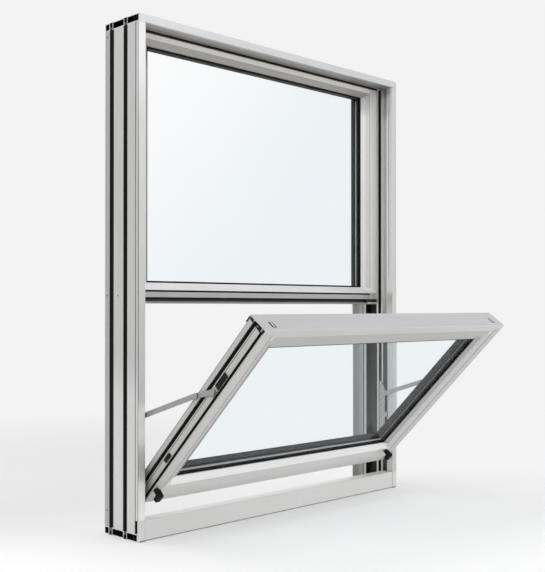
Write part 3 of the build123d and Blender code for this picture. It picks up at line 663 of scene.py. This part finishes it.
# Painted shade: the open end of the lower top rail's hook, black.
HOOK_END_SHADE = Leaning((0.4396, 0.4410), (0.0232, 0.0290), (0.5, 0.57), *BLACK_TONES)
# Painted light: the lower top rail's top face, bluer and a little darker, as lit from above.
TOP_FACE_COOL_LIGHT = Leaning((0.0, 0.4420), (-0.0262, 0.0290), (0.5400, 0.5600), (0.485, 0.498, 0.515),
                   (0.575, 0.588, 0.605), 0.9)
# Painted light and shade on the lower sash's beads: darker at the top and the sides, lighter at the bottom.
TOP_BEAD_IN_SHADE = Leaning((0.0, 0.40), FACE_Y, (0.489, 0.533), (0.46, 0.455, 0.445), (0.54, 0.535, 0.525), 0.8)
SIDE_FACE_SHADE = Leaning((0.3955, 0.4130), FACE_Y, (0.050, 0.520), (0.55, 0.548, 0.54), (0.66, 0.658, 0.65), 0.8)
SIDE_BEAD_IN_SHADE = Leaning((0.3810, 0.3955), FACE_Y, (0.058, 0.500), (0.34, 0.34, 0.335), (0.46, 0.46, 0.455), 0.85)
BOTTOM_BEAD_LIGHT = Leaning((0.0, 0.3955), FACE_Y, (0.040, 0.0585), (0.86, 0.86, 0.855), (0.95, 0.95, 0.945), 0.9,
                      matt=0.4)
BEAD_SEAM = Leaning((0.4124, 0.4146), (-0.0290, -0.0270), (0.040, 0.535), *LINE_TONES, 0.85)
# Painted shade on the lower stiles' outer sides, and a painted black shadow at their tops.
STILE_SIDE_SHADE = Leaning(STILE_X, (-0.0290, 0.0240), STILE_Z, (0.42, 0.417, 0.41), (0.56, 0.557, 0.545), 0.7)
STILE_TOP_SHADOW = Leaning(STILE_X, (-0.0170, 0.0240), (0.5368, 0.5450), *BLACK_TONES)
STILE_BACK = Leaning(STILE_X, (0.0221, 0.0240), STILE_Z, *LINE_TONES, 0.7)

# What each finish is made of, by the name that the sub-assemblies ask for.
SashMetal = partial(Aluminium, light=(0.655, 0.652, 0.64), dark=(0.56, 0.557, 0.545))
Strip = partial(Moulded, colour=(0.003, 0.003, 0.003), dusty=(0.011, 0.0105, 0.010), grain=1800.0,
                roughness=(0.5, 0.7), lined=0.6, shine=0.04)
Rubber = partial(Moulded, colour=(0.006, 0.0065, 0.008), dusty=(0.026, 0.028, 0.031), grain=2200.0,
                 roughness=(0.42, 0.6), lined=0.5)
Spacer = partial(Moulded, grain=1600.0, roughness=(0.45, 0.6))
Plastic = partial(Moulded, grain=1300.0, roughness=(0.42, 0.58))
RECIPES: dict[str, Callable[[Effects, Run], Finish]] = {
    "head_metal": partial(Aluminium, "Head aluminium",
                          patches=(SOFFIT, SOFFIT_BACK_SHADE, HEAD_GAP_SHADE, HEAD_FACE, *HEAD_INSIDE_SHADE)),
    "sill_metal": partial(Aluminium, "Sill aluminium", light=(0.76, 0.757, 0.745), dark=(0.66, 0.657, 0.645),
                          patches=(APRON_FOOT_SHADOW, APRON_END, *SILL_INSIDE_SHADE)),
    "step_metal": partial(Aluminium, "Step aluminium", light=(0.93, 0.93, 0.925), dark=(0.84, 0.84, 0.835),
                          metallic=0.45, patches=(NOTCH_SHADE,)),
    "left_jamb_metal": partial(Aluminium, "Left jamb aluminium",
                               patches=(*JAMB_PATCHES, FLANGE_TOP_LIGHT, FLANGE_LOW_LIGHT, FLANGE_FOOT_LIGHT)),
    "right_jamb_metal": partial(Aluminium, "Right jamb aluminium", patches=JAMB_PATCHES),
    "meeting_metal": partial(Aluminium, "Meeting rail aluminium",
                             patches=(GROOVE_LIP_SHADE, GROOVE_FOOT_SHADE, LOW_GROOVE_SHADE, SHADOW_GROOVE, MEETING_FLAT_SHADE)),
    "bead_metal": partial(Aluminium, "Bead aluminium", light=(0.82, 0.82, 0.815), dark=(0.71, 0.71, 0.70),
                          patches=(TOP_BEAD_IN_SHADE, SIDE_FACE_SHADE, SIDE_BEAD_IN_SHADE, BOTTOM_BEAD_LIGHT, BEAD_SEAM,
                                   UPPER_BEAD_IN_SHADE, BEAD_SHADE, UPPER_SEAM, HIGH_BEAD_IN_SHADE)),
    "hook_metal": partial(Aluminium, "Top rail aluminium", patches=(HOOK_END_SHADE, TOP_FACE_COOL_LIGHT)),
    "low_rail_metal": partial(Aluminium, "Bottom rail aluminium", light=(0.80, 0.795, 0.78),
                              dark=(0.68, 0.675, 0.66), metallic=0.6),
    "upper_stile_metal": partial(SashMetal, "Upper stile aluminium",
                                 patches=(UPPER_FLAT_LIGHT, UPPER_EDGE_SHADE, UPPER_SEAM)),
    "lower_stile_metal": partial(SashMetal, "Lower stile aluminium",
                                 patches=(STILE_SIDE_SHADE, STILE_TOP_SHADOW, STILE_BACK, BEAD_SEAM)),
    "high_rail_metal": partial(SashMetal, "Upper rail aluminium", patches=(HIGH_FLAT_LIGHT,)),
    "sash_metal": partial(SashMetal, "Sash aluminium"),
    "stay_steel": partial(Steel, "Stay steel"),
    "screw": partial(Steel, "Dark screw", light=grey(0.10), dark=grey(0.05)),
    "strip": partial(Strip, "Thermal strip"),
    "head_strip": partial(Strip, "Head strip", patches=(HEAD_STRIP_SHADE,)),
    "rubber": partial(Rubber, "Seal rubber"),
    "upper_rubber": partial(Rubber, "Upper seal rubber", patches=(UPPER_LIP,)),
    "lower_rubber": partial(Rubber, "Lower seal rubber", patches=(OUTDOOR_LIP,)),
    "upper_spacer": partial(Spacer, "Upper edge spacer", colour=(0.028, 0.031, 0.033),
                            dusty=(0.050, 0.054, 0.057), lined=0.6, patches=(UPPER_STRIPE,)),
    "lower_spacer": partial(Spacer, "Lower edge spacer", colour=(0.012, 0.014, 0.016),
                            dusty=(0.030, 0.034, 0.037), lined=0.25,
                            patches=(LOWER_STRIPE, LOWER_GREY, SIDE_DARK, SIDE_LIGHT)),
    "block_plastic": partial(Plastic, "End block plastic", colour=(0.022, 0.020, 0.017),
                             dusty=(0.10, 0.092, 0.082), lined=0.3),
    "plastic": partial(Plastic, "Moulded plastic", colour=(0.008, 0.0075, 0.0075),
                       dusty=(0.040, 0.038, 0.037), lined=0.1),
    "glass": partial(Glass, "Window glass"),
}


class Palette:
    """All finishes of the window, one material for each finish and run."""

    def __init__(self) -> None:
        """Builds the shared effects. Materials are made when first asked for."""
        self.effects = Effects()
        self.made: dict[tuple[str, Run], Material] = {}

    def get(self, name: str, run: Run = Run.ACROSS) -> Material:
        """Material of a finish along a run, made once.

        Args:
            name: the recipe's name.
            run: the way that the piece runs.

        Returns:
            The material.
        """
        if (name, run) not in self.made:
            self.made[name, run] = RECIPES[name](self.effects, run).material()
        return self.made[name, run]


def turned_surface(name: str, profile: np.ndarray, centre: Sequence[float], axis: Sequence[float],
                   material: Material, around: int = 28) -> None:
    """Makes a surface of revolution, such as the head of a rivet, which rides on the window.

    A point is centre + h * axis + r * (cos(a) * u + sin(a) * v), where (r, h) runs along the
    profile, a runs round, and u and v are square to the axis. The first and last profile
    points have r of zero and close the shape.

    Args:
        name: the new object's name.
        profile: rows of radius and height, from the foot to the tip.
        centre: the point where height is zero.
        axis: the direction of height, level and of length one.
        material: the finish.
        around: how many steps go round.
    """
    axis = np.asarray(axis, float)
    side = np.cross(axis, (0.0, 0.0, 1.0))
    other = np.cross(axis, side)
    angle = np.arange(around) * 2 * np.pi / around
    ring = np.cos(angle)[:, None] * side + np.sin(angle)[:, None] * other
    points = np.asarray(centre) + profile[1:-1, None, 1:2] * axis + profile[1:-1, None, 0:1] * ring
    rows = len(profile) - 2
    ends = np.asarray(centre) + profile[[0, -1], 1:2] * axis
    verts = np.concatenate([points.reshape(-1, 3), ends])
    row, step = np.meshgrid(np.arange(rows - 1), np.arange(around), indexing="ij")
    here, ahead = row * around + step, row * around + (step + 1) % around
    quads = np.stack([here, ahead, ahead + around, here + around], -1).reshape(-1, 4)
    foot = np.stack([ahead[0], here[0], np.full(around, rows * around)], -1)
    last = (rows - 1) * around
    tip = np.stack([last + here[0], last + ahead[0], np.full(around, rows * around + 1)], -1)
    mesh = bpy.data.meshes.new(name)
    mesh.from_pydata(verts.tolist(), [], quads.tolist() + foot.tolist() + tip.tolist())
    mesh.shade_smooth()
    mesh.materials.append(material)
    made = bpy.data.objects.new(name, mesh)
    bpy.context.scene.collection.objects.link(made)
    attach(made, BODY)
    LOG.info("made %s", name)


def dome(radius: float, height: float, steps: int = 9) -> np.ndarray:
    """Profile of a low rounded head: r = R * sqrt(1 - s^3), h = H * s, with s from 0 to 1.

    Args:
        radius: R, at the foot.
        height: H, at the tip.
        steps: how many points s takes.

    Returns:
        Rows of radius and height.
    """
    share = np.linspace(0.0, 1.0, steps)
    rise = np.stack([radius * np.sqrt(1.0 - share**3), height * share], -1)
    return np.concatenate([[[0.0, 0.0]], rise])


@dataclass
class SubAssembly:
    """Pieces that are fitted together. Its finishes say which nodes wear which, along which run."""

    palette: Palette
    finishes: Finishes = ()

    def dress(self, nodes: dict[str, bpy.types.Object]) -> None:
        """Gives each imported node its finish, in all of its slots.

        Args:
            nodes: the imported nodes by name.
        """
        for finish, run, names in self.finishes:
            material = self.palette.get(finish, run)
            for name in names:
                slots = nodes[name].material_slots
                if not slots:
                    nodes[name].data.materials.append(material)
                for slot in slots:
                    slot.material = material
                LOG.info("dressed %s with %s", name, material.name)

    def build(self) -> None:
        """Adds pieces that the pack leaves out. There are none, unless a class below says so."""


@dataclass
class OuterFrame(SubAssembly):
    """Head, jambs and sill. Each screw is given by its depth, height and radius."""

    finishes: Finishes = (
        ("left_jamb_metal", Run.UPRIGHT, ("left_jamb",)),
        ("right_jamb_metal", Run.UPRIGHT, ("right_jamb",)),
        ("head_metal", Run.ACROSS, ("head",)),
        ("sill_metal", Run.ACROSS, ("sill", "sill_apron", "sill_corner_blocks")),
        ("step_metal", Run.ACROSS, ("sill_step",)),
        ("strip", Run.UPRIGHT, ("left_jamb_thermal_strips", "right_jamb_thermal_strips")),
        ("head_strip", Run.ACROSS, ("head_thermal_strips",)),
        ("strip", Run.ACROSS, ("sill_thermal_strips",)),
        ("rubber", Run.UPRIGHT, ("jamb_pocket_seals",)),
    )
    sunk: float = 0.0012
    head_rise: float = 0.3
    screws: tuple[Triple, ...] = (
        (0.057, 1.168, 0.0021), (0.057, 0.055, 0.0021), (0.057, 0.559, 0.0021), (0.014, 0.559, 0.0021),
        (-0.0605, 0.566, 0.0014))

    def build(self) -> None:
        """Adds screw heads, sunk in the holes on the outsides of the jambs."""
        for side, node, outwards in (("left", "left_jamb", -1.0), ("right", "right_jamb", 1.0)):
            lowest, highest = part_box(node)
            face = max(abs(lowest[0]), abs(highest[0]))
            for number, (y, z, radius) in enumerate(self.screws, 1):
                turned_surface(f"{side}_jamb_screw_{number}", dome(radius, self.head_rise * radius),
                               (outwards * (face - self.sunk), y, z), (outwards, 0.0, 0.0),
                               self.palette.get("screw"))


@dataclass
class UpperSash(SubAssembly):
    """Upright sash in the outer track."""

    finishes: Finishes = (
        ("upper_stile_metal", Run.UPRIGHT, ("upper_left_stile", "upper_right_stile")),
        ("high_rail_metal", Run.ACROSS, ("upper_top_rail",)),
        ("bead_metal", Run.ACROSS, ("upper_glazing_beads",)),
        ("meeting_metal", Run.ACROSS, ("meeting_rail",)),
        ("strip", Run.ACROSS, ("upper_sash_thermal_strips",)),
        ("upper_rubber", Run.ACROSS, ("upper_glazing_gaskets",)),
        ("upper_spacer", Run.ACROSS, ("upper_glass_spacer",)),
        ("glass", Run.ACROSS, ("upper_room_pane", "upper_outdoor_pane")),
        ("block_plastic", Run.ACROSS, ("meeting_rail_end_blocks",)),
    )


@dataclass
class LowerSash(SubAssembly):
    """Sash that leans into the room."""

    finishes: Finishes = (
        ("lower_stile_metal", Run.LEANING, ("lower_left_stile", "lower_right_stile")),
        ("low_rail_metal", Run.ACROSS, ("lower_bottom_rail",)),
        ("sash_metal", Run.ACROSS, ("latch_tabs",)),
        ("hook_metal", Run.ACROSS, ("lower_top_rail",)),
        ("bead_metal", Run.ACROSS, ("lower_glazing_beads",)),
        ("strip", Run.LEANING, ("lower_sash_thermal_strips", "stile_groove_strips")),
        ("lower_rubber", Run.ACROSS, ("lower_glazing_gaskets",)),
        ("lower_spacer", Run.ACROSS, ("lower_glass_spacer",)),
        ("glass", Run.ACROSS, ("lower_room_pane", "lower_outdoor_pane")),
        ("plastic", Run.ACROSS, ("tilt_latches", "sash_feet", "pivot_shoes")),
        ("stay_steel", Run.ACROSS, ("pivot_bars",)),
    )


@dataclass
class Stays(SubAssembly):
    """Folding stays between the jambs and the lower sash.

    Each joint is a place in depth and height. A face is the distance from the window's middle
    at which a rivet's head sits.
    """

    finishes: Finishes = (
        ("stay_steel", Run.ACROSS, ("stay_bars", "stay_links", "stay_pins", "stay_sash_plates")),
        ("stay_steel", Run.LEANING, ("stay_brackets",)),
        ("plastic", Run.ACROSS, ("stay_sliders",)),
    )
    head_radius: float = 0.0042
    head_height: float = 0.0010
    elbow: Span = (-0.239, 0.342)
    jamb_pin: Span = (-0.039, 0.279)
    sash_pin: Span = (-0.29223, 0.35323)
    elbow_faces: Span = (0.4492, 0.4439)
    jamb_face: float = 0.4467
    sash_face: float = 0.4464

    def build(self) -> None:
        """Adds rivet heads at every joint of both stays."""
        rivets = (("elbow_out", self.elbow, self.elbow_faces[0], 1.0),
                  ("elbow_in", self.elbow, self.elbow_faces[1], -1.0),
                  ("jamb", self.jamb_pin, self.jamb_face, -1.0),
                  ("sash", self.sash_pin, self.sash_face, 1.0))
        for side, sign in (("left", -1.0), ("right", 1.0)):
            for name, (y, z), face, outwards in rivets:
                turned_surface(f"{side}_stay_{name}_rivet", dome(self.head_radius, self.head_height),
                               (sign * face, y, z), (sign * outwards, 0.0, 0.0),
                               self.palette.get("stay_steel"))


@dataclass(frozen=True)
class Lamp:
    """One round soft lamp of the studio, brightest in its middle."""

    name: str
    place: Triple
    aim: Triple
    radius: float
    bright: float
    rim: float = 0.885

    def build(self) -> None:
        """Makes the lamp, turned towards its aim.

        A lamp of pi times its area in watts has a radiance of one, so the strength below is
        the radiance: bright in the middle and that of the surroundings at the rim.
        """
        data = bpy.data.lights.new(self.name, "AREA")
        data.shape = "DISK"
        data.size = 2 * self.radius
        data.energy = math.pi * math.pi * self.radius**2
        data.use_nodes = True
        board = Board(data.node_tree)
        away = board.add("VectorMath", {0: board.add("NewGeometry").outputs["Position"], 1: self.place},
                         operation="DISTANCE").outputs["Value"]
        glow = board.add("Emission", {"Strength": board.ramp(away, 0.0, self.radius, self.bright, self.rim)})
        board.add("OutputLight", {"Surface": glow.outputs[0]})
        lamp = bpy.data.objects.new(self.name, data)
        bpy.context.scene.collection.objects.link(lamp)
        turn_towards(lamp, self.place, np.subtract(self.aim, self.place))


def turn_towards(made: bpy.types.Object, place: Sequence[float], direction: Sequence[float]) -> None:
    """Puts an object at a place with its -Z along a direction and its Y upwards.

    Args:
        made: the lamp or camera.
        place: its new place.
        direction: where it looks, of any length.
    """
    back = -np.asarray(direction, float) / np.linalg.norm(direction)
    right = np.cross((0.0, 0.0, 1.0), back)
    right /= np.linalg.norm(right)
    whole = np.eye(4)
    whole[:3, :3] = np.stack([right, np.cross(back, right), back], -1)
    whole[:3, 3] = place
    made.matrix_world = Matrix(whole.tolist())


@dataclass
class Studio:
    """Camera, lamps, floor and white surroundings.

    To the camera the floor is paint mixed with glow. The glow's share grows from the first
    value of floor_glow to the second between the distances in floor_fade. The paint carries
    painted shade, darker by the first value of floor_painted_shade at the left end of
    dim_across and by the second at its right end, but not in front of dim_depth.
    """

    white: float = 0.893
    white_through_glass: float = 0.965
    white_as_light: float = 0.93
    floor_reach: float = 9.0
    floor_sides: int = 64
    floor_albedo: float = 0.90
    floor_fade: Span = (0.9, 2.6)
    floor_glow: Span = (0.35, 1.0)
    floor_painted_shade: Span = (0.28, 0.11)
    dim_across: Span = (-0.6, 0.1)
    dim_depth: Span = (-0.65, 0.0)
    camera_place: Triple = (-1.749, -1.791, 0.532)
    heading: float = 44.65
    pitch: float = 0.47
    focal_pixels: float = 940.7
    frame_pixels: tuple[int, int] = (545, 572)
    axis_drop_pixels: float = 13.5
    sensor_width: float = 36.0
    clip: Span = (0.05, 60.0)
    lamps: tuple[Lamp, ...] = (
        Lamp("Key lamp", (1.1, -2.8, 3.35), (0.0, 0.0, 0.6), 1.25, 3.6),
        Lamp("Fill lamp", (-3.4, -0.4, 2.2), (0.0, 0.0, 0.6), 1.0, 1.5),
        Lamp("Top lamp", (-0.8, 1.0, 3.6), (0.0, 0.0, 0.3), 1.4, 3.0),
    )

    def build(self) -> None:
        """Makes the studio round the camera."""
        for lamp in self.lamps:
            lamp.build()
        self.build_floor()
        self.build_world()
        bpy.context.scene.view_settings.view_transform = "Standard"

    def build_camera(self) -> None:
        """Camera at the photograph's place. Its lens is f / longest side * sensor, with f in pixels."""
        data = bpy.data.cameras.new("Camera")
        longest = max(self.frame_pixels)
        data.sensor_width = self.sensor_width
        data.lens = self.focal_pixels * self.sensor_width / longest
        data.shift_y = self.axis_drop_pixels / longest
        data.clip_start, data.clip_end = self.clip
        camera = bpy.data.objects.new("Camera", data)
        bpy.context.scene.collection.objects.link(camera)
        yaw, rise = math.radians(self.heading), math.radians(self.pitch)
        forward = (math.sin(yaw) * math.cos(rise), math.cos(yaw) * math.cos(rise), math.sin(rise))
        turn_towards(camera, self.camera_place, forward)
        bpy.context.scene.camera = camera

    def direct(self, board: Board) -> Socket:
        """One for rays from the camera and through glass."""
        path = board.add("LightPath").outputs
        return board.math("MAXIMUM", path["Is Camera Ray"], path["Is Transmission Ray"])

    def seen(self, board: Board, fade: Value = 1.0) -> Socket:
        """Fade for rays from the camera and through glass, and one for those that a surface mirrors."""
        mirrored = board.add("LightPath").outputs["Is Glossy Ray"]
        return board.math("MAXIMUM", board.math("MULTIPLY", self.direct(board), fade), mirrored)

    def floor_colour(self, board: Board, where: Socket) -> Socket:
        """Pale grey, with painted shade beside and behind the window, deepest at its left.

        Args:
            board: the floor material's board.
            where: the point on the floor.

        Returns:
            The colour.
        """
        part = board.add("SeparateXYZ", {0: where}).outputs
        side, along = math.cos(math.radians(self.heading)), math.sin(math.radians(self.heading))
        across = board.weighted(part[0], side, part[1], -along)
        depth = board.weighted(part[0], along, part[1], side)
        # Painted shade on the floor, for rays from the camera and through glass.
        dim = board.math("MULTIPLY", board.ramp(across, *self.dim_across, *self.floor_painted_shade),
                         board.ramp(depth, *self.dim_depth))
        return board.mix(board.math("MULTIPLY", dim, self.direct(board)), grey(self.floor_albedo), grey(0.0))

    def backdrop(self, board: Board) -> Socket:
        """White of the surroundings, a little purer through the glass, whose tint takes some of it; the rest
        is painted light that stands in for the glass's reflections.
        """
        through = board.add("LightPath").outputs["Is Transmission Ray"]
        return board.mix(through, grey(self.white), grey(self.white_through_glass))

    def build_floor(self) -> None:
        """Round pale floor, which fades into the plain white of the surroundings."""
        around = np.arange(self.floor_sides) * 2 * np.pi / self.floor_sides
        edge = np.stack([np.cos(around), np.sin(around), np.zeros(self.floor_sides)], -1) * self.floor_reach
        mesh = bpy.data.meshes.new("Floor")
        mesh.from_pydata(edge.tolist(), [], [list(range(self.floor_sides))])
        material = bpy.data.materials.new("Pale floor")
        material.use_nodes = True
        board = Board(material.node_tree)
        where = board.add("TexCoord").outputs["Object"]
        away = board.add("VectorMath", {0: where}, operation="LENGTH").outputs["Value"]
        fade = board.ramp(away, *self.floor_fade, *self.floor_glow)
        paint = board.add("BsdfDiffuse", {"Color": self.floor_colour(board, where)})
        glow = board.add("Emission", {"Color": self.backdrop(board), "Strength": 1.0})
        shown = board.add("MixShader", {0: self.seen(board, fade), 1: paint.outputs[0], 2: glow.outputs[0]})
        board.add("OutputMaterial", {"Surface": shown.outputs[0]})
        mesh.materials.append(material)
        floor = bpy.data.objects.new("Floor", mesh)
        bpy.context.scene.collection.objects.link(floor)

    def build_world(self) -> None:
        """White surroundings, whose strength is another where they only light the window."""
        world = bpy.data.worlds.new("Surroundings")
        world.use_nodes = True
        bpy.context.scene.world = world
        board = Board(world.node_tree)
        shown = board.add("Background", {"Color": self.backdrop(board), "Strength": 1.0})
        light = board.add("Background", {"Color": grey(1.0), "Strength": self.white_as_light})
        both = board.add("MixShader", {0: self.seen(board), 1: light.outputs[0], 2: shown.outputs[0]})
        board.add("OutputWorld", {"Surface": both.outputs[0]})


def main() -> None:
    """Dresses the window piece by piece and sets up the studio."""
    logging.basicConfig(level=logging.INFO, format="%(name)s: %(message)s")
    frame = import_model()
    studio = Studio()
    studio.build_camera()
    palette = Palette()
    for part in (OuterFrame(palette), UpperSash(palette), LowerSash(palette), Stays(palette)):
        part.dress(frame["nodes"])
        part.build()
    studio.build()


if __name__ == "__main__":
    main()
